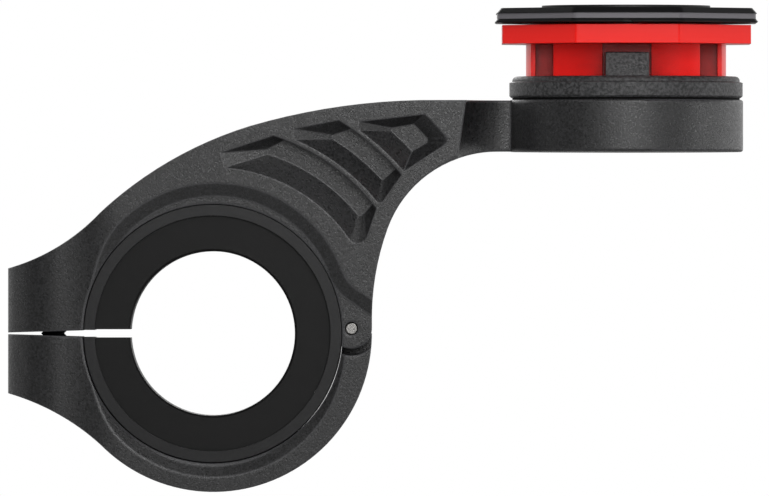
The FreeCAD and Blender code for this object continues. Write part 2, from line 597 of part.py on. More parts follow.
def make_arm(plan):
    """Upper jaw, pocketed web, neck and round housing."""
    side = new_body("arm_side")
    corners = [
        ("ear_x", "gap_tip / 2"),
        ("ear_x", "upper_ear_height"),
        ("shoulder_x", "shoulder_z"),
        ("brow_x", "brow_z"),
        ("crest_x", "top_z"),
        ("head_reach", "top_z"),
        ("head_reach", "neck_z"),
        ("under_x", "neck_z"),
        ("under_joint_x", "under_joint_z"),
        ("jaw_radius", "under_foot"),
        ("jaw_radius", "hinge_height"),
        ("hinge_x", "hinge_height - knuckle_radius"),
        ("hinge_x - knuckle_radius", "hinge_height"),
        ("-clamp_radius", "gap_root / 2"),
    ]
    arcs = {
        1: ("ear_sweep_radius", 1),
        2: ("shoulder_radius", -1),
        3: ("brow_radius", -1),
        7: ("under_top_radius", 1),
        8: ("under_radius", 1),
        10: ("knuckle_radius", -1),
        11: ("knuckle_radius", -1),
    }
    pad(side, outline(side, "arm_outline", "XZ_Plane", corners, arcs), "clamp_width", both_ways=True)
    blank = common("arm_blank", side, plan)

    lean = FreeCAD.Rotation(FreeCAD.Vector(0, 1, 0), value("scoop_tilt"))
    scoop = cylinder("scoop", "scoop_radius", "scoop_length",
                     x="scoop_x - scoop_length / 2 * sin(scoop_tilt)", y="-scoop_y",
                     z="top_z - neck_height / 2 - scoop_length / 2 * cos(scoop_tilt)", rotation=lean)
    necked = cut("arm_necked", blank, scoop, mirrored(scoop))

    housing = new_body("housing")
    corners = [
        ("0", "housing_bottom"),
        ("housing_radius - housing_round", "housing_bottom"),
        ("housing_radius", "housing_bottom + housing_round"),
        ("housing_radius", "housing_top - housing_round"),
        ("housing_radius - housing_round", "housing_top"),
        ("0", "housing_top"),
    ]
    arcs = {1: ("housing_round", 1), 3: ("housing_round", 1)}
    revolve(housing, outline(housing, "housing_profile", "XZ_Plane", corners, arcs))
    place(housing, x="head_reach")

    spigot_recess = new_body("spigot_recess")
    recess_outline = octagon(spigot_recess, "recess_outline", "spigot_width + 2 * spigot_clearance",
                             "housing_round", "housing_top + " + BEYOND)
    pad(spigot_recess, recess_outline, f"spigot_depth + {BEYOND}", downwards=True)
    place(spigot_recess, x="head_reach")

    tools = [
        cross_cylinder("clamp_bore", "clamp_radius", "clamp_width + 2 * " + BEYOND),
        *arm_cove(),
        cross_cylinder("tongue_slot", "seat_radius + slot_relief", "tongue_width + 2 * tongue_side_gap",
                       "hinge_x", "hinge_height"),
        cross_cylinder("arm_pin_hole", "pin_diameter / 2", "clamp_width", "hinge_x", "hinge_height"),
        cylinder("insert_hole", "insert_diameter / 2", "insert_z + insert_length", x="bolt_x"),
        cylinder("bolt_run", "insert_bore / 2", f"insert_z + insert_length + {BEYOND}", x="bolt_x"),
        spigot_recess,
        cylinder("core_bolt_hole", "core_bolt_diameter / 2", "2 * neck_height", x="head_reach", z="housing_bottom"),
        cylinder("core_counterbore", "core_head_diameter / 2 + counterbore_clearance",
                 "core_counterbore_depth + " + BEYOND, x="head_reach", z="housing_bottom - " + BEYOND),
    ]
    for pocket in POCKETS:
        tool = pocket_tool(pocket, CORNERS)
        tools += [tool, mirrored(tool)]
    return cut("arm", fuse("arm_solid", necked, housing), *tools)


def make_lower_jaw(plan):
    """Lower half of the clamp, with its ear and the tongue that the pin goes through."""
    side = new_body("jaw_side")
    corners = [
        ("ear_x", "-gap_tip / 2"),
        ("-clamp_radius", "-gap_root / 2"),
        ("clamp_radius", "-gap_root / 2"),
        ("jaw_radius", "0"),
        ("jaw_thinning - jaw_round * cos(45)", "-jaw_round * sin(45)"),
        ("ear_x", "-lower_ear_height"),
    ]
    arcs = {3: ("jaw_round", -1), 4: ("lower_sweep_radius", 1)}
    pad(side, outline(side, "jaw_outline", "XZ_Plane", corners, arcs), "clamp_width", both_ways=True)
    blank = common("jaw_blank", side, plan)
    tongue = cross_cylinder("tongue", "knuckle_radius", "tongue_width", "hinge_x", "hinge_height")

    # The tongue turns about a pin that is close to the bore. It keeps out of the shims at
    # every opening, so the bore is cut from it again at half and at full swing.
    swing_cuts = []
    for share in (0.5, 1.0):
        turn = f"(hinge_swing * {share})"
        swing_cuts.append(cross_cylinder(
            "swing_cut", "jaw_bore_radius + jaw_clearance", "tongue_width + 2 * " + BEYOND,
            f"hinge_x - hinge_x * cos{turn} - hinge_height * sin{turn}",
            f"hinge_height + hinge_x * sin{turn} - hinge_height * cos{turn}"))
    trimmed = cut("tongue_trimmed", tongue, *swing_cuts)

    seat = cylinder("knuckle_seat", "seat_radius", "half_width", x="hinge_x",
                    y="-half_width - tongue_width / 2", z="hinge_height", rotation=ALONG_Y)
    shaped = cut("jaw_shaped", blank, seat, mirrored(seat))
    tools = [
        cross_cylinder("jaw_bore", "jaw_bore_radius", "clamp_width + 2 * " + BEYOND),
        *cove("jaw_cove", "(clamp_radius + jaw_cove_margin)", "jaw_cove_run", "-jaw_cove_fall"),
        cross_cylinder("jaw_pin_hole", "pin_diameter / 2 + pin_clearance", "clamp_width",
                       "hinge_x", "hinge_height"),
        cylinder("jaw_bolt_hole", "bolt_diameter / 2 + bolt_clearance", "2 * bolt_seat",
                 x="bolt_x", z="-2 * bolt_seat"),
        cylinder("jaw_counterbore", "bolt_head_diameter / 2 + counterbore_clearance", "jaw_radius",
                 x="bolt_x", z="-bolt_seat - jaw_radius"),
    ]
    return cut("lower_jaw", fuse("jaw_solid", shaped, trimmed), *tools)


def make_hinge_pin():
    """A plain steel pin with bevelled ends, a little below the knuckle faces."""
    body = new_body("hinge_pin")
    end = "(knuckle_y - pin_recess)"
    radius = "pin_diameter / 2"
    corners = [
        ("0", f"-{end}"),
        (f"{radius} - pin_chamfer", f"-{end}"),
        (radius, f"-{end} + pin_chamfer"),
        (radius, f"{end} - pin_chamfer"),
        (f"{radius} - pin_chamfer", end),
        ("0", end),
    ]
    revolve(body, outline(body, "pin_profile", "XY_Plane", corners))
    place(body, x="hinge_x", z="hinge_height")
    return body


def make_shim(name, outer, inner, width, slot, chamfer, chamfer_outside):
    """A split ring that fills the step between two bore sizes."""
    ring = new_body(name + "_ring")
    end = f"({width} / 2)"
    if chamfer_outside:
        corners = [(inner, f"-{end}"), (f"{outer} - {chamfer}", f"-{end}"), (outer, f"-{end} + {chamfer}"),
                   (outer, f"{end} - {chamfer}"), (f"{outer} - {chamfer}", end), (inner, end)]
    else:
        corners = [(f"{inner} + {chamfer}", f"-{end}"), (outer, f"-{end}"), (outer, end),
                   (f"{inner} + {chamfer}", end), (inner, f"{end} - {chamfer}"), (inner, f"-{end} + {chamfer}")]
    revolve(ring, outline(ring, name + "_profile", "XY_Plane", corners))
    split = block(name + "_split", ("-clamp_diameter", "0"), ("-clamp_width", "clamp_width"),
                  (f"-{slot} / 2", f"{slot} / 2"))
    return cut(name, ring, split)


def make_ring(name, outer, inner, thickness, x, z):
    """A flat ring, such as a washer, a gasket or an insert."""
    body = new_body(name)
    pad(body, circles(body, name + "_circles", "XY_Plane", [outer, inner]), thickness)
    place(body, x=x, z=z)
    return body


def make_head_base():
    """Floor and wall under the sleeve, an octagonal spigot below and two upright tabs."""
    ring = new_body("base_ring")
    hole = "core_bolt_diameter / 2"
    corners = [
        (hole, "base_z"),
        ("base_radius - base_foot", "base_z"),
        ("base_radius", "base_z + base_foot"),
        ("base_radius", "base_z + base_shelf_height"),
        ("base_radius - base_shelf", "base_z + base_shelf_height + base_shelf_fall"),
        ("base_radius - base_shelf", "ring_top - base_round"),
        ("base_radius - base_shelf - base_round", "ring_top"),
        ("opening_radius", "ring_top"),
        ("opening_radius", "floor_z"),
        (hole, "floor_z"),
    ]
    revolve(ring, outline(ring, "base_profile", "XZ_Plane", corners, {5: ("base_round", 1)}))
    place(ring, x="head_reach")

    spigot = new_body("spigot")
    pad(spigot, octagon(spigot, "spigot_outline", "spigot_width", "housing_round", "floor_z"),
        "base_floor + spigot_depth", downwards=True)
    place(spigot, x="head_reach")
    drilled = cut("spigot_drilled", spigot,
                  cylinder("spigot_hole", hole, "3 * neck_height", x="head_reach", z="housing_bottom"))

    tab = new_body("tab")
    corners = [
        ("-opening_radius - tab_foot", "floor_z - base_floor / 2"),
        ("-tab_inner", "floor_z - base_floor / 2"),
        ("-tab_inner", "ring_top + tab_height"),
        ("-opening_radius - tab_foot + tab_chamfer", "ring_top + tab_height"),
        ("-opening_radius - tab_foot", "ring_top + tab_height - tab_chamfer"),
    ]
    pad(tab, outline(tab, "tab_outline", "YZ_Plane", corners), "tab_width", both_ways=True)
    place(tab, x="head_reach")
    return fuse("head_base", ring, drilled, tab, mirrored(tab))


def make_head_core():
    """The post: bored from below for its bolt and drilled from above for the cap screws."""
    post = cylinder("post", "core_diameter / 2", "plate_z - floor_z", x="head_reach", z="floor_z")
    bolt_hole = cylinder("post_bolt_hole", "core_bolt_diameter / 2",
                         "core_head_z + core_bolt_length + tip_clearance - floor_z + " + BEYOND,
                         x="head_reach", z="floor_z - " + BEYOND)
    holes = [
        cylinder("post_screw_hole", "cap_screw_diameter / 2", "cap_screw_length + tip_clearance",
                 x=f"head_reach + cap_screw_circle / 2 * cos({angle})",
                 y=f"cap_screw_circle / 2 * sin({angle})",
                 z="cap_seat_z - cap_screw_length - tip_clearance")
        for angle in SCREW_ANGLES
    ]
    return cut("head_core", post, bolt_hole, *holes)


def make_lock_sleeve():
    """The red sleeve: octagonal flange, low boss, lobed barrel and two side pads."""
    flange = new_body("flange")
    pad(flange, octagon(flange, "flange_outline", "flange_width", "flange_corner_round", "flange_z"),
        "flange_thickness")
    place(flange, x="head_reach")
    boss = cylinder("boss", "boss_diameter / 2", "boss_top - flange_z", x="head_reach", z="flange_z")

    foot_to_flange = ("sleeve_z", "flange_z")
    front_curve = cylinder("barrel_front", "barrel_curve", "flange_z - sleeve_z", x="head_reach",
                           y="barrel_curve - sleeve_flats / 2", z="sleeve_z")
    lens = common("barrel_lens", front_curve, mirrored(front_curve))
    ends = block("barrel_ends", ("head_reach - lobe_half_width", "head_reach + lobe_half_width"),
                 ("-barrel_radius", "barrel_radius"), foot_to_flange)
    lobes = common("lobes", lens, ends)
    reach = ("head_reach - pad_reach", "head_reach + pad_reach")
    web = block("pad_web", reach, ("-pad_web_half_width", "pad_web_half_width"), foot_to_flange)
    plates = block("pad_plates", reach, ("-pad_half_width", "pad_half_width"), foot_to_flange)
    between = block("pad_gap", ("head_reach - pad_inner", "head_reach + pad_inner"),
                    ("-2 * pad_half_width", "2 * pad_half_width"), foot_to_flange)
    round_pads = common("round_pads", fuse("pads", cut("side_plates", plates, between), web),
                        cylinder("pad_round", "pad_reach", "flange_z - sleeve_z", x="head_reach", z="sleeve_z"))
    solid = fuse("sleeve_solid", flange, boss, lobes, round_pads)

    slot_half = "(tab_width / 2 + sleeve_slot_clearance)"
    slot = block("tab_slot", (f"head_reach - {slot_half}", f"head_reach + {slot_half}"),
                 ("-pad_reach", "-slot_y"), (f"sleeve_z - {BEYOND}", "flange_z"))
    return cut(
        "lock_sleeve", solid, slot, mirrored(slot),
        cylinder("spring_space", "spring_space_radius", f"web_z - sleeve_z + {BEYOND}",
                 x="head_reach", z=f"sleeve_z - {BEYOND}"),
        cylinder("guide_bore", "core_diameter / 2 + sleeve_clearance", f"boss_top - sleeve_z + 2 * {BEYOND}",
                 x="head_reach", z=f"sleeve_z - {BEYOND}"))


def make_sleeve_spring():
    """A coil between the base floor and the sleeve's web, its wire drawn with eight sides."""
    body = new_body("sleeve_spring")
    corners = [(f"spring_radius + spring_wire / 2 / cos(22.5) * cos({angle})",
                f"spring_z + spring_wire / 2 / cos(22.5) * sin({angle})")
               for angle in (22.5, 67.5, 112.5, 157.5, 202.5, 247.5, 292.5, 337.5)]
    wire = outline(body, "wire", "XZ_Plane", corners)
    coil = body.newObject("PartDesign::AdditiveHelix", "coil")
    coil.Profile = wire
    coil.ReferenceAxis = (wire, ["V_Axis"])
    coil.Mode = "pitch-height-angle"
    bind(coil, "Pitch", "spring_pitch")
    bind(coil, "Height", "spring_rise")
    place(body, x="head_reach")
    return body


def make_cap_plate():
    """Octagonal plate: thin wide lip, upright band, bevelled top and a recess for the disc."""
    body = new_body("plate")
    levels = [
        octagon(body, "lip_under", "lip_width - 2 * lip_under_inset", "plate_corner_round", "plate_z"),
        octagon(body, "lip_edge", "lip_width", "plate_corner_round", "plate_z + lip_edge_height"),
        octagon(body, "lip_top", "lip_width - 2 * band_inset", "plate_corner_round", "band_z"),
    ]
    lip = body.newObject("PartDesign::AdditiveLoft", "lip")
    lip.Profile = levels[0]
    lip.Sections = levels[1:]
    lip.Ruled = True
    band = octagon(body, "band_outline", "lip_width - 2 * band_inset", "plate_corner_round", "band_z")
    pad(body, band, "band_height")
    low = octagon(body, "bevel_outline", "lip_width - 2 * bevel_inset", "plate_corner_round", "bevel_z")
    high = octagon(body, "top_outline", "lip_width - 2 * top_inset", "plate_corner_round", "plate_top")
    bevel = body.newObject("PartDesign::AdditiveLoft", "bevel")
    bevel.Profile = low
    bevel.Sections = [high]
    bevel.Ruled = True
    place(body, x="head_reach")

    tools = [
        cylinder("disc_recess_tool", "disc_diameter / 2 + disc_clearance", f"disc_recess + {BEYOND}",
                 x="head_reach", z="disc_z"),
        cylinder("notch", "notch_radius", "notch_depth + " + BEYOND, x="head_reach",
                 y="-lip_width / 2 - " + BEYOND, z="plate_z - notch_sink", rotation=ALONG_Y),
    ]
    for angle in SCREW_ANGLES:
        spot = {"x": f"head_reach + cap_screw_circle / 2 * cos({angle})",
                "y": f"cap_screw_circle / 2 * sin({angle})"}
        tools += [
            cylinder("plate_screw_hole", "cap_screw_diameter / 2", f"disc_z - plate_z + 2 * {BEYOND}",
                     z=f"plate_z - {BEYOND}", **spot),
            cylinder("plate_head_recess", "cap_head_diameter / 2", f"cap_head_height + {BEYOND}",
                     z="cap_seat_z", **spot),
        ]
    return cut("cap_plate", body, *tools)


def make_cap_screw(number, angle):
    """A small slotted screw under the disc, head up."""
    spot = {"x": f"head_reach + cap_screw_circle / 2 * cos({angle})",
            "y": f"cap_screw_circle / 2 * sin({angle})"}
    head = cylinder("screw_head", "cap_head_diameter / 2", "cap_head_height", z="cap_seat_z", **spot)
    shank = cylinder("screw_shank", "cap_screw_diameter / 2", "cap_screw_length + cap_slot_depth",
                     z="cap_seat_z - cap_screw_length", **spot)
    slot = block("screw_slot", (f"{spot['x']} - cap_head_diameter", f"{spot['x']} + cap_head_diameter"),
                 (f"{spot['y']} - cap_slot_width / 2", f"{spot['y']} + cap_slot_width / 2"),
                 ("disc_z - cap_slot_depth", "disc_z + " + BEYOND))
    return cut(f"cap_screw_{number}", fuse("screw_solid", head, shank), slot)


def make_cap_disc():
    """The low round disc that covers the cap screws."""
    body = new_body("cap_disc")
    pad(body, circles(body, "disc_outline", "XY_Plane", ["disc_diameter / 2"]), "disc_recess + disc_proud")
    place(body, x="head_reach", z="disc_z")
    return body


SCREW_ANGLES = (45, 135, 225, 315)

# The sheets come first, because every size below is read from them.
for pocket, levels in POCKETS.items():
    for level, places in levels.items():
        for corner, (angle, outward) in zip(CORNERS, places):
            key = f"{pocket}_{level}_{corner}"
            DRIVING.append((key + "_angle", angle, "direction of a pocket corner from the bore"))
            DRIVING.append((key + "_out", outward, "pocket corner beyond the bare bore"))
sheet_of.update({row[0]: "Driving." for row in DRIVING})
sheet_of.update({row[0]: "Worked." for row in WORKED})
driving = fill_sheet("Driving", [(alias, str(size), meaning) for alias, size, meaning in DRIVING])
worked = fill_sheet("Worked", [(alias, "=" + named(formula)) for alias, formula in WORKED])
document.recompute()

plan = plan_outline()
clamp_bolt = screw("clamp_bolt", "bolt_head_diameter / 2", "bolt_head_height", "bolt_diameter / 2",
                   "bolt_length", "bolt_socket", "bolt_socket_depth")
place(clamp_bolt, x="bolt_x", z="bolt_head_z")
core_bolt = screw("core_bolt", "core_head_diameter / 2", "core_head_height", "core_bolt_diameter / 2",
                  "core_bolt_length", "core_socket", "core_socket_depth")
place(core_bolt, x="head_reach", z="core_head_z")

nodes = {
    "arm": make_arm(plan),
    "lower_jaw": make_lower_jaw(plan),
    "hinge_pin": make_hinge_pin(),
    "clamp_bolt": clamp_bolt,
    "clamp_washer": make_ring("clamp_washer", "bolt_head_diameter / 2 + counterbore_clearance / 2",
                              "bolt_diameter / 2 + bolt_clearance", "washer_thickness", "bolt_x", "bolt_head_z"),
    "clamp_insert": make_ring("clamp_insert", "insert_diameter / 2", "insert_bore / 2", "insert_length",
                              "bolt_x", "insert_z"),
    "shim_outer": make_shim("shim_outer", "clamp_radius", "step_diameter / 2", "outer_shim_width",
                            "outer_shim_slot", "outer_shim_chamfer", True),
    "shim_inner": make_shim("shim_inner", "step_diameter / 2", "bar_diameter / 2", "inner_shim_width",
                            "inner_shim_slot", "inner_shim_chamfer", False),
    "head_gasket": make_ring("head_gasket", "housing_radius - gasket_inset", "spigot_width / 2 + gasket_bore",
                             "gasket_thickness", "head_reach", "housing_top"),
    "head_base": make_head_base(),
    "head_core": make_head_core(),
    "core_bolt": core_bolt,
    "core_washer": make_ring("core_washer", "core_head_diameter / 2 + counterbore_clearance / 2",
                             "core_bolt_diameter / 2", "core_washer_thickness", "head_reach", "core_head_z"),
    "lock_sleeve": make_lock_sleeve(),
    "sleeve_spring": make_sleeve_spring(),
    "cap_plate": make_cap_plate(),
    "cap_disc": make_cap_disc(),
}
for number, angle in enumerate(SCREW_ANGLES, 1):
    nodes[f"cap_screw_{number}"] = make_cap_screw(number, angle)
for name, node in nodes.items():
    node.Label = name
document.recompute()

for item in document.Objects:
    if "Invalid" in item.State or "Error" in item.State:
        raise RuntimeError(f"{item.Label} failed: {item.State}")
for name, node in nodes.items():
    if node.Shape.isNull() or not node.Shape.isValid():
        raise RuntimeError(f"{name} has no valid shape")

os.makedirs("parts", exist_ok=True)
for name, node in nodes.items():
    solids = len(node.Shape.Solids)
    print(f"{name}: {solids} solid, {node.Shape.Volume:.1f} cubic mm")
    node.Shape.exportStep(f"parts/{name}.step")
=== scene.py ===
# %% [markdown]
# # Out-front bike mount
#
# The mount clamps on a handlebar and holds a phone in front of it. Its solids come from the
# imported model, already in place and at real size in metres. This lesson dresses them: it gives
# each piece the finish of the real one, adds what is too fine for the solids, such as screw
# threads, and sets up the light and the camera.

import math

import bpy
import numpy as np
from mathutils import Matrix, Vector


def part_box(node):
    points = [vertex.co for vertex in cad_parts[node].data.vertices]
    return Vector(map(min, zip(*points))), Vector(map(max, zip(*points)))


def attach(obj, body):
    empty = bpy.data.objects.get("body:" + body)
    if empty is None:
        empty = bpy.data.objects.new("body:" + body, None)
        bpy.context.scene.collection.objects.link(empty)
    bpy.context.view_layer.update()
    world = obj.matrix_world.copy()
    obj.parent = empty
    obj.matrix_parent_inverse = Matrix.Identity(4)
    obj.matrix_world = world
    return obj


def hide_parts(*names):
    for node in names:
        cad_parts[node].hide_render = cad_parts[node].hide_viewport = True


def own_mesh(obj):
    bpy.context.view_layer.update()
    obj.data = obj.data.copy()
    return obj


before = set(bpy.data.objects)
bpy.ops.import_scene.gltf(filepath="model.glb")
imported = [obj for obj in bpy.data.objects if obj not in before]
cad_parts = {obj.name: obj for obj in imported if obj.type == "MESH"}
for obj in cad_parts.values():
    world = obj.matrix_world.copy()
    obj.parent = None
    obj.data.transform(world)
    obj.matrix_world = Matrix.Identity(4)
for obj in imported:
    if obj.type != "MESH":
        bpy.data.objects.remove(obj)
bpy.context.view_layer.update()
MM = 0.001
print("solids:", len(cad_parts))

# %% [markdown]
# ## Colours and nodes
#
# Blender's shaders work in linear light, while colours are usually written as sRGB hex values.
# One function turns one into the other, so that each colour below can be read as it looks.
# A second one adds a shader node with its settings and its links, which keeps every material to
# a few lines. A third turns the real size of a grain into the scale of a texture.


# %% Helpers for materials
SMOOTH = {"interpolation_type": "SMOOTHSTEP"}


def linear(hex_colour, alpha=1.0):
    """sRGB hex to linear red, green, blue and alpha: c/12.92, or ((c+0.055)/1.055)^2.4."""
    channels = [int(hex_colour[i:i + 2], 16) / 255 for i in (1, 3, 5)]
    light = [c / 12.92 if c <= 0.04045 else ((c + 0.055) / 1.055) ** 2.4 for c in channels]
    return (*light, alpha)


def add(tree, kind, settings=None, sockets=None):
    """A node of that kind, with attributes set and each socket given a value or a link."""
    node = tree.nodes.new("ShaderNode" + kind)
    for name, value in (settings or {}).items():
        setattr(node, name, value)
    for name, value in (sockets or {}).items():
        if isinstance(value, bpy.types.NodeSocket):
            tree.links.new(value, node.inputs[name])
        else:
            node.inputs[name].default_value = value
    return node


def new_material(name):
    """An empty material: its node tree and the output node."""
    material = bpy.data.materials.new(name)
    material.use_nodes = True
    material.node_tree.nodes.clear()
    return material, material.node_tree, add(material.node_tree, "OutputMaterial")


def grain_scale(size_mm):
    """Texture scale at which one grain is that many millimetres wide."""
    return 1000.0 / size_mm


def dress(material, *nodes):
    """Give the solids of these nodes the material."""
    for name in nodes:
        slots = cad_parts[name].data.materials
        slots.clear()
        slots.append(material)
    print(material.name, "on", ", ".join(nodes))


print("mid grey #808080 in linear light:", round(linear("#808080")[0], 3))
print("texture scale of a 0.25 mm grain:", grain_scale(0.25))

# %% [markdown]
# ## One recipe for the hard finishes
#
# Anodised alloy, moulded nylon, rubber and steel differ in colour, gloss and grain, but all of
# them are an even colour with a fine grain that tilts the surface a little and changes the
# gloss. So one function builds them, with numbers for each. Every grain is read from Object
# coordinates, so its size is real.
#
# On the real pieces each grain is under 0.1 mm wide, and a pixel of the picture is 0.135 mm. So
# all the grains below are drawn coarser than the real ones, 0.15 to 0.3 mm wide, to show at all.
#
# A Bevel node softens the light on the edges, as tumbling does on the real part. It changes no
# mesh, only the normal that the shader works with.


# %% Hard finishes
# Noise seldom leaves this range, so a range of colour or gloss is stretched over it.
NOISE_LOW, NOISE_HIGH = 0.38, 0.62
# Patches of colour are this much wider than the grain, so that the two don't fall together.
PATCH_TO_GRAIN = 1.3


def finish(name, colour, roughness, grain_mm, grain_height_mm, metallic=0.0, specular=0.5,
           edge_mm=0.0, mottle=0.0, gloss_change=0.0):
    """A Principled shader with noise for grain.

    The noise is the height of a bump. The roughness is roughness plus or minus gloss_change
    with the same noise, and the colour is multiplied by 1 plus or minus mottle with another.
    """
    material, tree, output = new_material(name)
    coords = add(tree, "TexCoord")
    grain = add(tree, "TexNoise", None, {
        "Vector": coords.outputs["Object"], "Scale": grain_scale(grain_mm),
        "Detail": 3.0, "Roughness": 0.6})
    shader = add(tree, "BsdfPrincipled", None, {
        "Base Color": linear(colour), "Metallic": metallic, "Roughness": roughness,
        "Specular IOR Level": specular})
    if mottle:
        patches = add(tree, "TexNoise", None, {
            "Vector": coords.outputs["Object"], "Scale": grain_scale(grain_mm * PATCH_TO_GRAIN),
            "Detail": 2.0})
        shades = add(tree, "MapRange", None, {
            "Value": patches.outputs["Fac"], "From Min": NOISE_LOW, "From Max": NOISE_HIGH,
            "To Min": 1.0 - mottle, "To Max": 1.0 + mottle})
        tint = add(tree, "MixRGB", {"blend_type": "MULTIPLY"}, {
            "Fac": 1.0, "Color1": linear(colour), "Color2": shades.outputs["Result"]})
        tree.links.new(tint.outputs["Color"], shader.inputs["Base Color"])
    if gloss_change:
        gloss = add(tree, "MapRange", None, {
            "Value": grain.outputs["Fac"], "From Min": NOISE_LOW, "From Max": NOISE_HIGH,
            "To Min": roughness - gloss_change, "To Max": roughness + gloss_change})
        tree.links.new(gloss.outputs["Result"], shader.inputs["Roughness"])
    bump = add(tree, "Bump", None, {
        "Height": grain.outputs["Fac"], "Distance": grain_height_mm * MM, "Strength": 1.0})
    tree.links.new(bump.outputs["Normal"], shader.inputs["Normal"])
    if edge_mm:
        soft = add(tree, "Bevel", {"samples": 6}, {"Radius": edge_mm * MM})
        tree.links.new(soft.outputs["Normal"], bump.inputs["Normal"])
    tree.links.new(shader.outputs["BSDF"], output.inputs["Surface"])
    return material


# The disc on the cap: moulded nylon, a shade lighter and duller than the plate under it, so that
# it reads as a quiet round step.
disc_nylon = finish("disc_nylon", "#171718", roughness=0.5, grain_mm=0.3,
                    grain_height_mm=0.004, edge_mm=0.1)
dress(disc_nylon, "cap_disc")

# %% [markdown]
# ## Shims and gasket
#
# Two split rings fit the clamp to thinner bars, and a thin gasket seals the head. They are
# moulded, so they have an even colour and next to no grain. What tells them apart is how black
# and how dull they are.

# %% Moulded rings
# Nylon of the outer ring: satin black with a faint cloud, a shade lighter than the rubber.
shim_nylon = finish("shim_nylon", "#171718", roughness=0.42, grain_mm=0.25,
                    grain_height_mm=0.012, specular=0.45, edge_mm=0.1, mottle=0.15)
dress(shim_nylon, "shim_outer")
# Rubber of the inner ring: deep, even black with a wide, weak shine.
shim_rubber = finish("shim_rubber", "#0d0d0d", roughness=0.5, grain_mm=0.25,
                     grain_height_mm=0.008, specular=0.3, edge_mm=0.1)
dress(shim_rubber, "shim_inner")
# Rubber of the gasket: black, and painted a deeper black as the shade in its groove. Almost no
# shine, so that it reads as a dark line.
gasket_rubber = finish("gasket_rubber", "#060606", roughness=0.8, grain_mm=0.25,
                       grain_height_mm=0.003, specular=0.15)
dress(gasket_rubber, "head_gasket")

# %% [markdown]
# ## The head's base
#
# The ring with the two upright tabs is nylon filled with glass fibre. It comes out of the mould
# rough, and the fibres near the skin catch the light as pale specks. So the colour and the gloss
# change a lot from grain to grain, and the bump is deep.

# %% Rough nylon
# Speckled dark grey, dull with small glints. A speck is drawn about three times as coarse as a
# real one, so that it shows.
base_nylon = finish("base_nylon", "#313132", roughness=0.45, grain_mm=0.3,
                    grain_height_mm=0.09, edge_mm=0.15, mottle=0.6, gloss_change=0.12)
dress(base_nylon, "head_base")

# %% [markdown]
# ## Steel
#
# The hinge pin, the insert and the spring are bare steel. The bolts, washers, cap screws and the
# post that the sleeve slides on are blackened, which keeps rust off and cuts the glare. The
# black skin is thin, between a metal and a paint, so it mirrors like both.

# %% Two steels
# Bare turned steel: a bright pale dot at the hinge, which mirrors the room. Its turning marks
# are drawn coarser than the real ones.
bright_steel = finish("bright_steel", "#b9b7b4", roughness=0.25, grain_mm=0.15,
                      grain_height_mm=0.001, metallic=1.0, edge_mm=0.06)
dress(bright_steel, "hinge_pin", "clamp_insert", "sleeve_spring")
# Black oxide on steel: near black with a soft metal shine and a coarser grain than the real one.
black_oxide = finish("black_oxide", "#2a2a2c", roughness=0.35, grain_mm=0.2,
                     grain_height_mm=0.002, metallic=0.6, edge_mm=0.08)
dress(black_oxide, "clamp_bolt", "clamp_washer", "core_bolt", "core_washer", "head_core",
      "cap_screw_1", "cap_screw_2", "cap_screw_3", "cap_screw_4")

# %% [markdown]
# ## Painted light between two heights
#
# The cap plate is black nylon, with its upright side painted a lighter grey as a painted
# reflection of the bright front. The barrel of the red sleeve is painted a brighter red than its
# flange, as painted light in the shade under the flange. Both pieces stand on a vertical axis, so
# a second colour between two heights is enough: one smooth step up, less one smooth step down.


# %% The cap plate
def tint_where(material, share, colour):
    """Mix a colour into the finish: base * (1 - share) + colour * share."""
    tree = material.node_tree
    shader = next(node for node in tree.nodes if node.type == "BSDF_PRINCIPLED")
    socket = shader.inputs["Base Color"]
    below = socket.links[0].from_socket if socket.links else tuple(socket.default_value)
    mixed = add(tree, "MixRGB", None, {"Fac": share, "Color1": below, "Color2": linear(colour)})
    tree.links.new(mixed.outputs["Color"], socket)


def paint_light_band(material, colour, low_mm, high_mm, soft_mm=0.03):
    """Painted light between two heights: a second colour, a smooth step up less a smooth step down.
    """
    tree = material.node_tree
    coords = add(tree, "TexCoord")
    place = add(tree, "SeparateXYZ", None, {"Vector": coords.outputs["Object"]})
    steps = []
    for edge_mm in (low_mm, high_mm):
        steps.append(add(tree, "MapRange", SMOOTH, {
            "Value": place.outputs["Z"], "From Min": (edge_mm - soft_mm) * MM,
            "From Max": (edge_mm + soft_mm) * MM}))
    inside = add(tree, "Math", {"operation": "SUBTRACT"}, {
        0: steps[0].outputs[0], 1: steps[1].outputs[0]})
    tint_where(material, inside.outputs[0], colour)
    print(material.name, "has a band", round(high_mm - low_mm, 2), "mm high")


# Black nylon, smoother than the base: deep black with one clean shine along the bevels. Its
# upright side is painted a lighter grey, as a painted reflection of the bright front.
cap_nylon = finish("cap_nylon", "#0e0e0f", roughness=0.36, grain_mm=0.3,
                   grain_height_mm=0.003, specular=0.25, edge_mm=0.12)
# Painted reflection: the lighter grey band on the upright side.
paint_light_band(cap_nylon, "#605e62", low_mm=42.48, high_mm=43.21)
dress(cap_nylon, "cap_plate")

# %% [markdown]
# ## The red sleeve
#
# The sleeve is machined alloy, anodised and dyed red. It is smooth, with a narrow shine. In its
# slots and under its flange it lies in shade, and light that goes from wall to wall turns a
# deeper red each time. The lamps alone show that too weakly, so a dark red is painted in as shade
# where Ambient Occlusion finds a hollow, and a brighter red is painted on the barrel as light.
# The painted shade goes by the shape alone, so it holds from every side.


# %% Sleeve
# Open share of the sky above a point, where a hollow is at its deepest and where it starts.
HOLLOW_DEEP, HOLLOW_STARTS = 0.2, 0.45


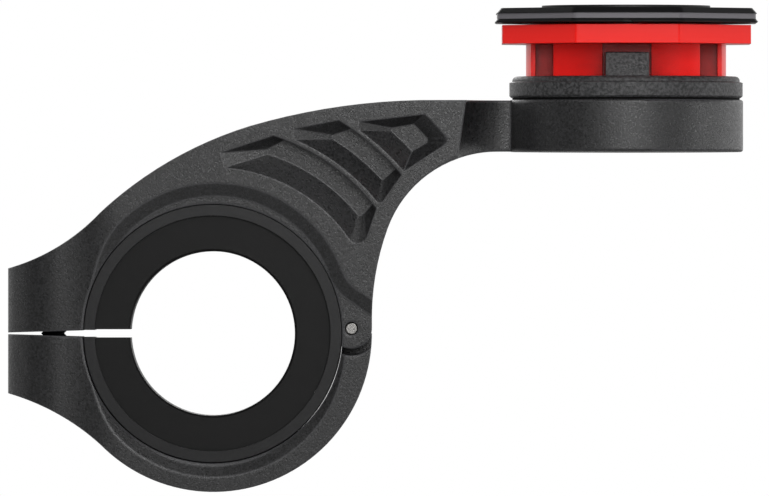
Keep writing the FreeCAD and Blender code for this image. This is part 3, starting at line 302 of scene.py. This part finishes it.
def paint_hollow_shade(material, colour, reach_mm):
    """Painted shade: a darker colour in the hollows, by one less a smooth step of Ambient Occlusion.
    """
    tree = material.node_tree
    open_share = add(tree, "AmbientOcclusion", {"samples": 8}, {"Distance": reach_mm * MM})
    hollow = add(tree, "MapRange", SMOOTH, {
        "Value": open_share.outputs["AO"], "From Min": HOLLOW_DEEP,
        "From Max": HOLLOW_STARTS, "To Min": 1.0, "To Max": 0.0})
    tint_where(material, hollow.outputs["Result"], colour)
    print(material.name, "is deeper in hollows within", reach_mm, "mm")


# Dyed anodised alloy: a strong, clear red, with painted shade that darkens it in the slots and
# painted light that brightens the barrel.
anodised_red = finish("anodised_red", "#e3150d", roughness=0.3, grain_mm=0.25,
                      grain_height_mm=0.004, specular=0.18, edge_mm=0.12)
# Painted light: a brighter red on the barrel, which the flange above keeps in shade.
paint_light_band(anodised_red, "#ff1813", low_mm=34.0, high_mm=39.1)
# Painted shade: a dark red in the slots and other hollows.
paint_hollow_shade(anodised_red, "#900503", reach_mm=6.0)
dress(anodised_red, "lock_sleeve")

# %% [markdown]
# ## The arm and the lower jaw
#
# Both are machined alloy, blasted with fine beads and anodised black. Blasting gives the even,
# sandy satin look: many tiny dents, each with its own small glint. Along the edges a lighter
# colour is painted in as a highlight, for the light that the rounded edges catch. It is painted
# where the Bevel node's softened normal leaves the face's own one, which happens along edges and
# nowhere else.


# %% Blasted alloy
# Cosine between the face and its softened normal, where the painted highlight starts and is full.
EDGE_HIGHLIGHT_STARTS, EDGE_HIGHLIGHT_FULL = 0.998, 0.972


def paint_edge_highlights(material, colour):
    """Painted highlight: a second colour by a smooth step of the cosine between face and soft
    normal.
    """
    tree = material.node_tree
    soft = next(node for node in tree.nodes if node.type == "BEVEL")
    face = add(tree, "NewGeometry")
    same = add(tree, "VectorMath", {"operation": "DOT_PRODUCT"}, {
        0: soft.outputs["Normal"], 1: face.outputs["True Normal"]})
    highlighted = add(tree, "MapRange", SMOOTH, {
        "Value": same.outputs["Value"], "From Min": EDGE_HIGHLIGHT_STARTS, "From Max": EDGE_HIGHLIGHT_FULL})
    tint_where(material, highlighted.outputs["Result"], colour)
    print(material.name, "is worn on edges rounded by",
          round(soft.inputs["Radius"].default_value / MM, 2), "mm")


# Blasted, anodised alloy: dark grey satin and sandy, with a lighter painted highlight along the
# edges. The real dents are too fine to show, so they are drawn 0.24 mm wide.
anodised_black = finish("anodised_black", "#1c1c1d", roughness=0.38, grain_mm=0.24,
                        grain_height_mm=0.05, specular=0.8, edge_mm=0.3, mottle=0.6,
                        gloss_change=0.11)
# Painted highlight: a lighter grey along the edges.
paint_edge_highlights(anodised_black, "#3a3a3c")
dress(anodised_black, "arm", "lower_jaw")

# %% [markdown]
# ## Rounder edges at the neck and the bore
#
# Along the neck and round the bore the real arm has no edge but a soft roll. So there the Bevel
# node's radius is larger. It changes with the place: near the bore with the distance from the
# bore's axis, and along the neck with x.


# %% Radius by place
# Lengths over which the larger radius fades in or out.
BORE_FADE_MM, NECK_RISE_MM, NECK_FALL_MM = 1.5, 2.0, 1.0


def round_more(material, bore_radius_mm, neck_from_mm, neck_to_mm, edge_mm):
    """Radius: its own value, towards edge_mm by the larger of two shares. The bore's share is a
    smooth step down of the distance from the axis, the neck's a step up and one down of x."""
    tree = material.node_tree
    bevel = next(node for node in tree.nodes if node.type == "BEVEL")
    coords = add(tree, "TexCoord")
    place = add(tree, "SeparateXYZ", None, {"Vector": coords.outputs["Object"]})
    flat = add(tree, "CombineXYZ", None, {"X": place.outputs["X"], "Z": place.outputs["Z"]})
    reach = add(tree, "VectorMath", {"operation": "LENGTH"}, {0: flat.outputs["Vector"]})
    bore = add(tree, "MapRange", SMOOTH, {
        "Value": reach.outputs["Value"], "From Min": bore_radius_mm * MM,
        "From Max": (bore_radius_mm + BORE_FADE_MM) * MM, "To Min": 1.0, "To Max": 0.0})
    rise = add(tree, "MapRange", SMOOTH, {
        "Value": place.outputs["X"], "From Min": (neck_from_mm - NECK_RISE_MM) * MM,
        "From Max": neck_from_mm * MM})
    fall = add(tree, "MapRange", SMOOTH, {
        "Value": place.outputs["X"], "From Min": neck_to_mm * MM,
        "From Max": (neck_to_mm + NECK_FALL_MM) * MM, "To Min": 1.0, "To Max": 0.0})
    neck = add(tree, "Math", {"operation": "MULTIPLY"}, {0: rise.outputs[0], 1: fall.outputs[0]})
    more = add(tree, "Math", {"operation": "MAXIMUM"}, {0: bore.outputs[0], 1: neck.outputs[0]})
    radius = add(tree, "MapRange", None, {
        "Value": more.outputs[0], "To Min": bevel.inputs["Radius"].default_value,
        "To Max": edge_mm * MM})
    # A wider radius needs more samples to stay free of noise.
    bevel.samples = 10
    tree.links.new(radius.outputs["Result"], bevel.inputs["Radius"])
    print(material.name, "is rounded by", edge_mm, "mm within", bore_radius_mm, "mm of the axis")


round_more(anodised_black, bore_radius_mm=20.0, neck_from_mm=32.0, neck_to_mm=42.0, edge_mm=0.6)

# %% [markdown]
# ## Surfaces from rings
#
# The pieces that follow are closed surfaces. Each is a stack of rings of points: point j of ring
# i is joined to its neighbour in the ring and to the point above it. The two ends are closed by
# a fan round the middle of the first and the last ring. numpy works out all the points at once.


# %% Closed surface
# Blender shades an edge sharp where its faces turn by more than this.
SHARP_DEGREES = 35


def closed_surface(name, rings):
    """A mesh from rings of points in mm, each end closed by a point at its ring's middle."""
    rows, columns = rings.shape[:2]
    grid = np.arange(rows * columns).reshape(rows, columns)
    after = np.roll(grid, -1, axis=1)
    walls = np.stack([grid[:-1], after[:-1], after[1:], grid[1:]], axis=-1).reshape(-1, 4)
    first, last = rows * columns, rows * columns + 1
    start = np.stack([np.full(columns, first), after[0], grid[0]], axis=-1)
    end = np.stack([grid[-1], after[-1], np.full(columns, last)], axis=-1)
    points = np.concatenate([rings.reshape(-1, 3), rings[[0, -1]].mean(axis=1)])
    mesh = bpy.data.meshes.new(name)
    mesh.from_pydata((points * MM).tolist(), [], walls.tolist() + start.tolist() + end.tolist())
    mesh.polygons.foreach_set("use_smooth", np.ones(len(mesh.polygons), dtype=bool))
    mesh.set_sharp_from_angle(angle=math.radians(SHARP_DEGREES))
    piece = bpy.data.objects.new(name, mesh)
    bpy.context.scene.collection.objects.link(piece)
    print(name, "faces:", len(mesh.polygons))
    return piece


def stand_for(piece, node, body, material):
    """The piece takes the place of a solid: it rides on the body in that material."""
    piece.data.materials.append(material)
    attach(piece, body)
    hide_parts(node)


print("edges are drawn sharp where faces turn by more than", SHARP_DEGREES, "degrees")

# %% [markdown]
# ## The two bolts, with their threads
#
# The real bolts are turned steel: a round head with a fine knurl for the fingers, a hexagon
# socket for the key, and a rolled thread. In the solids a bolt is plain, because a thread is too
# fine for them. Here the rings run from the bottom of the socket, round the head and up the
# shank to the tip. Every ring has its own height, and a radius that may change with the angle.
# That gives the hexagon, the knurl and the thread.


# %% Shape of a bolt
# Points in a ring, their angles, and rings for each turn of the thread.
COLUMNS = 120
ANGLES = np.linspace(0, 2 * math.pi, COLUMNS, endpoint=False)
ROWS_PER_TURN = 8
# Ribs of the knurl round the head, and their height.
KNURLS = 30
KNURL_MM = 0.1


def zigzag(turns):
    """A triangle wave between -1 and 1 that repeats at each whole turn."""
    return 4 * np.abs(turns - np.floor(turns + 0.5)) - 1


def hexagon(flats_mm):
    """Radius of a hexagon by angle: half the width across flats over the cosine from a flat."""
    return flats_mm / 2 / np.cos((ANGLES + math.pi / 6) % (math.pi / 3) - math.pi / 6)


def threaded_bolt(name, axis_x, seat_z, head_radius, head_height, flats, socket_depth,
                  shank_radius, thread_depth, pitch, thread_from, tip_z):
    """A bolt that points up, in mm. Radius on the thread: middle + half the depth times a
    triangle wave of z / pitch - angle / a turn, faded out at both ends."""
    low = seat_z - head_height
    turn = ANGLES / (2 * math.pi)
    even = np.ones(COLUMNS)
    knurl = head_radius - KNURL_MM / 2 * (1 + zigzag(turn * KNURLS))
    profile = [
        (low + socket_depth, hexagon(flats) * 0.98),    # floor of the socket
        (low + socket_depth, hexagon(flats)),           # foot of its six walls
        (low + 0.15, hexagon(flats)),                   # top of the walls
        (low, even * (flats * 0.62)),                   # round bevel at the mouth
        (low, even * (head_radius - 0.4)),              # flat face of the head
        (low + 0.3, even * (head_radius - 0.1)),        # bevel round the head
        (low + 0.45, knurl),                            # knurl starts
        (seat_z - 0.3, knurl),                          # knurl ends
        (seat_z - 0.15, even * (head_radius - 0.1)),    # plain rim
        (seat_z, even * (head_radius - 0.25)),          # bevel at the seat
        (seat_z, even * (shank_radius + 0.05)),         # seat
        (seat_z + 0.1, even * shank_radius),            # fillet under the head
        (thread_from, even * shank_radius),             # plain shank
    ]
    rows = np.arange(thread_from + pitch / ROWS_PER_TURN, tip_z - 0.35, pitch / ROWS_PER_TURN)
    fade = np.clip((rows - thread_from) / pitch, 0, 1)[:, None]
    wave = zigzag(rows[:, None] / pitch - turn[None, :])
    thread = shank_radius - fade * thread_depth / 2 * (1 - wave)
    root = shank_radius - thread_depth
    tip = [(tip_z - 0.3, even * root), (tip_z, even * (root - 0.3))]
    heights = np.concatenate([[z for z, _ in profile], rows, [z for z, _ in tip]])
    radii = np.concatenate([[r for _, r in profile], thread, [r for _, r in tip]])
    rings = np.stack([axis_x + radii * np.cos(ANGLES), radii * np.sin(ANGLES),
                      np.repeat(heights[:, None], COLUMNS, axis=1)], axis=-1)
    return closed_surface(name, rings)


print("points in a ring:", COLUMNS, "ribs of the knurl:", KNURLS)

# %% The clamp bolt and the head's bolt
CLAMP_BOLT_X = -21.56
HEAD_X = 55.9
clamp_bolt = threaded_bolt("clamp_bolt_threaded", axis_x=CLAMP_BOLT_X, seat_z=-5.0,
                           head_radius=3.5, head_height=4.0, flats=3.0, socket_depth=2.0,
                           shank_radius=1.75, thread_depth=0.36, pitch=0.7,
                           thread_from=-1.0, tip_z=4.4)
stand_for(clamp_bolt, "clamp_bolt", "clamp_bolt", black_oxide)
core_bolt = threaded_bolt("core_bolt_threaded", axis_x=HEAD_X, seat_z=27.25,
                          head_radius=4.0, head_height=2.5, flats=3.0, socket_depth=1.3,
                          shank_radius=2.44, thread_depth=0.4, pitch=0.8,
                          thread_from=29.6, tip_z=39.45)
stand_for(core_bolt, "core_bolt", "arm", black_oxide)

# %% [markdown]
# ## The spring under the sleeve
#
# The real spring is round wire wound in a coil that rises evenly. The solid is a plain coil with
# eight flat sides. Here the same coil is a round tube carried along a helix.


# %% Spring
RINGS_PER_TURN = 60
WIRE_SIDES = 16
WIRE_MM = 0.88


def coil_spring(name, axis_x, mean_radius, wire, low, high, pitch):
    """Helix: angle t, height low + pitch * t / a turn. Round section across its direction, in mm."""
    turns = (high - low - wire) / pitch
    t = np.linspace(0, turns * 2 * math.pi, int(turns * RINGS_PER_TURN))[:, None]
    rise = pitch / (2 * math.pi)
    slope = math.hypot(mean_radius, rise)
    outward = np.stack([np.cos(t), np.sin(t), 0 * t], axis=-1)
    along = np.stack([-mean_radius * np.sin(t), mean_radius * np.cos(t), rise + 0 * t],
                     axis=-1) / slope
    middle = np.stack([axis_x + mean_radius * np.cos(t), mean_radius * np.sin(t),
                       low + wire / 2 + rise * t], axis=-1)
    across = np.linspace(0, 2 * math.pi, WIRE_SIDES, endpoint=False)[None, :, None]
    section = np.cos(across) * outward + np.sin(across) * np.cross(along, outward)
    return closed_surface(name, middle + wire / 2 * section)


(_, left, foot), (_, right, top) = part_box("sleeve_spring")
spring_low, spring_high = foot / MM, top / MM
spring_outer = (right - left) / 2 / MM
# The tube stays just inside the solid: 0.03 mm at its ends and 0.04 mm round its outside.
spring = coil_spring("sleeve_spring_coil", axis_x=HEAD_X, mean_radius=spring_outer - 0.48,
                     wire=WIRE_MM, low=spring_low + 0.03, high=spring_high - 0.03, pitch=1.55)
stand_for(spring, "sleeve_spring", "arm", bright_steel)
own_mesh(spring)

# %% [markdown]
# ## Background
#
# The photograph is a plain studio picture on white. The world is white to the camera, and weaker
# as a light, so that it doesn't flatten the shapes. Shiny pieces mirror a room: the white
# backdrop behind the mount, which draws a thin light line along each rounded rim, and a dim
# room in front of it, over it and under it.


# %% World
# Parts of a ray's direction between which each step rises: y to the backdrop, z overhead and
# underneath, where this share of the mirrored light is left.
BACKDROP_STARTS, BACKDROP_FULL = 0.15, 0.75
OVERHEAD_STARTS, OVERHEAD_FULL = 0.3, 0.8
UNDER_FULL, UNDER_STARTS = -0.6, -0.1
DIM = 0.25


def studio_world(light_level, room_level, backdrop_level):
    """White for camera rays. Mirrored rays see a backdrop behind the mount in a dimmer room.

    The mirrored level goes with the ray's direction: a smooth step along y from room to
    backdrop, times smooth steps along z that fall to DIM overhead and underneath.
    """
    world = bpy.data.worlds.new("studio")
    world.use_nodes = True
    tree = world.node_tree
    tree.nodes.clear()
    path = add(tree, "LightPath")
    ambient = add(tree, "Background", None, {"Color": (1, 1, 1, 1), "Strength": light_level})
    coords = add(tree, "TexCoord")
    ray = add(tree, "SeparateXYZ", None, {"Vector": coords.outputs["Generated"]})
    behind = add(tree, "MapRange", SMOOTH, {
        "Value": ray.outputs["Y"], "From Min": BACKDROP_STARTS, "From Max": BACKDROP_FULL,
        "To Min": room_level, "To Max": backdrop_level})
    above = add(tree, "MapRange", SMOOTH, {
        "Value": ray.outputs["Z"], "From Min": OVERHEAD_STARTS, "From Max": OVERHEAD_FULL,
        "To Min": 1.0, "To Max": DIM})
    below = add(tree, "MapRange", SMOOTH, {
        "Value": ray.outputs["Z"], "From Min": UNDER_FULL, "From Max": UNDER_STARTS,
        "To Min": DIM, "To Max": 1.0})
    band = add(tree, "Math", {"operation": "MULTIPLY"}, {0: above.outputs[0], 1: below.outputs[0]})
    room = add(tree, "Math", {"operation": "MULTIPLY"}, {0: behind.outputs[0], 1: band.outputs[0]})
    mirrored = add(tree, "Background", None, {"Color": (1, 1, 1, 1), "Strength": room.outputs[0]})
    white = add(tree, "Background", None, {"Color": (1, 1, 1, 1), "Strength": 1.0})
    shiny = add(tree, "MixShader", None, {
        "Fac": path.outputs["Is Glossy Ray"], 1: ambient.outputs[0], 2: mirrored.outputs[0]})
    clear = add(tree, "MixShader", None, {
        "Fac": path.outputs["Is Transmission Ray"], 1: shiny.outputs[0], 2: white.outputs[0]})
    seen = add(tree, "MixShader", None, {
        "Fac": path.outputs["Is Camera Ray"], 1: clear.outputs[0], 2: white.outputs[0]})
    output = add(tree, "OutputWorld")
    tree.links.new(seen.outputs[0], output.inputs["Surface"])
    bpy.context.scene.world = world
    print("world light:", light_level, "mirrored:", room_level, "to", backdrop_level)


studio_world(light_level=0.9, room_level=0.04, backdrop_level=1.0)

# %% [markdown]
# ## Floor
#
# A pale round floor lies well below the mount. Its own grey is what the mount's light and shadow
# fall on. For the camera it glows as well, more towards its rim, so that it fades into the
# world's white with no line.


# %% Floor
FLOOR_SIDES = 96
# The glow starts and ends at these shares of the floor's radius, with these strengths.
GLOW_FROM, GLOW_TO = 0.25, 0.95
GLOW_WEAK, GLOW_FULL = 0.62, 1.0


def pale_floor(height_mm, radius_mm):
    """A flat disc: grey paper, plus a glow for camera rays that grows with the distance."""
    turns = np.linspace(0, 2 * math.pi, FLOOR_SIDES, endpoint=False)
    rim = np.stack([np.cos(turns), np.sin(turns), np.zeros(FLOOR_SIDES)], axis=1) * radius_mm * MM
    rim[:, 2] = height_mm * MM
    mesh = bpy.data.meshes.new("floor")
    mesh.from_pydata(rim.tolist(), [], [list(range(FLOOR_SIDES))])
    floor = bpy.data.objects.new("floor", mesh)
    bpy.context.scene.collection.objects.link(floor)
    material, tree, output = new_material("white_paper")
    paper = add(tree, "BsdfDiffuse", None, {"Color": linear("#8c8c8c")})
    coords = add(tree, "TexCoord")
    distance = add(tree, "VectorMath", {"operation": "LENGTH"}, {0: coords.outputs["Object"]})
    glow = add(tree, "MapRange", None, {
        "Value": distance.outputs["Value"], "From Min": GLOW_FROM * radius_mm * MM,
        "From Max": GLOW_TO * radius_mm * MM, "To Min": GLOW_WEAK, "To Max": GLOW_FULL})
    path = add(tree, "LightPath")
    shown = add(tree, "Math", {"operation": "MULTIPLY"}, {
        0: glow.outputs["Result"], 1: path.outputs["Is Camera Ray"]})
    light = add(tree, "Emission", None, {"Strength": shown.outputs[0]})
    both = add(tree, "AddShader", None, {0: paper.outputs[0], 1: light.outputs[0]})
    tree.links.new(both.outputs[0], output.inputs["Surface"])
    floor.data.materials.append(material)
    print("floor at", height_mm, "mm, radius", radius_mm, "mm")


pale_floor(height_mm=-60, radius_mm=900)

# %% [markdown]
# ## Lamps
#
# In the photograph the flat faces are an even grey, the hollows round the bore go dark on one
# side and light on the other, and the right end of the round housing has a soft bright edge. So
# soft rectangular lamps stand on all sides, each of them weak. Those in front light the faces,
# the high and low ones shape the hollows, and those beside and behind draw the rims.


# %% Lamps
def aim(thing, place, target):
    """Put an object at a place, with its -Z axis towards the target."""
    offset = np.array(target) - np.array(place)
    flat = math.hypot(offset[0], offset[1])
    thing.location = place
    thing.rotation_euler = (math.atan2(flat, -offset[2]), 0, math.atan2(-offset[0], offset[1]))


def softbox(name, place_mm, target_mm, size_mm, watts):
    """A rectangular lamp that the camera doesn't see."""
    lamp = bpy.data.lights.new(name, "AREA")
    lamp.shape = "RECTANGLE"
    lamp.size, lamp.size_y = (side * MM for side in size_mm)
    lamp.energy = watts
    box = bpy.data.objects.new(name, lamp)
    bpy.context.scene.collection.objects.link(box)
    aim(box, [c * MM for c in place_mm], [c * MM for c in target_mm])
    box.visible_camera = False


MIDDLE = (30, 0, 12)
WEB = (40, 0, 15)
HEAD = (60, 0, 25)
# Name, place and target in mm, width and height in mm, watts.
LAMPS = [
    ("front_above", (45, -300, 58), WEB, (180, 70), 0.1),
    ("front_close", (85, -190, 85), HEAD, (90, 70), 0.07),
    ("front_right", (115, -250, 175), HEAD, (120, 120), 0.08),
    ("front_left", (-70, -330, 120), MIDDLE, (120, 120), 0.045),
    ("right_level", (330, -300, 20), MIDDLE, (100, 150), 0.05),
    ("overhead", (30, -245, 390), MIDDLE, (150, 150), 0.075),
    ("left_high", (-265, -168, 307), MIDDLE, (150, 150), 0.06),
    ("right_low", (440, -120, 0), (50, 0, 12), (80, 160), 0.15),
    ("right_strip", (480, 0, 12), MIDDLE, (100, 140), 0.09),
    ("right_rim", (447, 168, 12), MIDDLE, (150, 150), 0.09),
    ("left_strip", (-420, 0, 12), MIDDLE, (100, 140), 0.04),
    ("back_fill", (-60, 420, 200), MIDDLE, (260, 160), 0.4),
]
for lamp_row in LAMPS:
    softbox(*lamp_row)
print("lamps:", len(LAMPS), "watts in all:", round(sum(row[-1] for row in LAMPS), 3))

# %% [markdown]
# ## Camera
#
# The photograph was taken square to the arm's side from far away, so that there is hardly any
# perspective. Here the camera is 2.5 m away, with a lens as long as that distance needs: the
# view is as wide as the sensor over the lens, times the distance. The lens shift stays at zero.

# %% Camera
SENSOR_MM = 36.0
LENS_MM = 864.4
# In metres: the distance, the picture's middle, and the heights of the camera and its target.
DISTANCE = 2.5
PICTURE_X = 0.0232
CAMERA_Z, TARGET_Z = 0.008, 0.01155
view = bpy.data.cameras.new("camera")
view.sensor_width = SENSOR_MM
view.lens = LENS_MM
view.clip_start, view.clip_end = 0.05, 50.0
camera = bpy.data.objects.new("camera", view)
bpy.context.scene.collection.objects.link(camera)
aim(camera, [PICTURE_X, -DISTANCE, CAMERA_Z], [PICTURE_X, 0.0, TARGET_Z])
bpy.context.scene.camera = camera
bpy.context.scene.view_settings.view_transform = "Standard"
print("view width in mm:", round(SENSOR_MM / LENS_MM * DISTANCE / MM, 1))
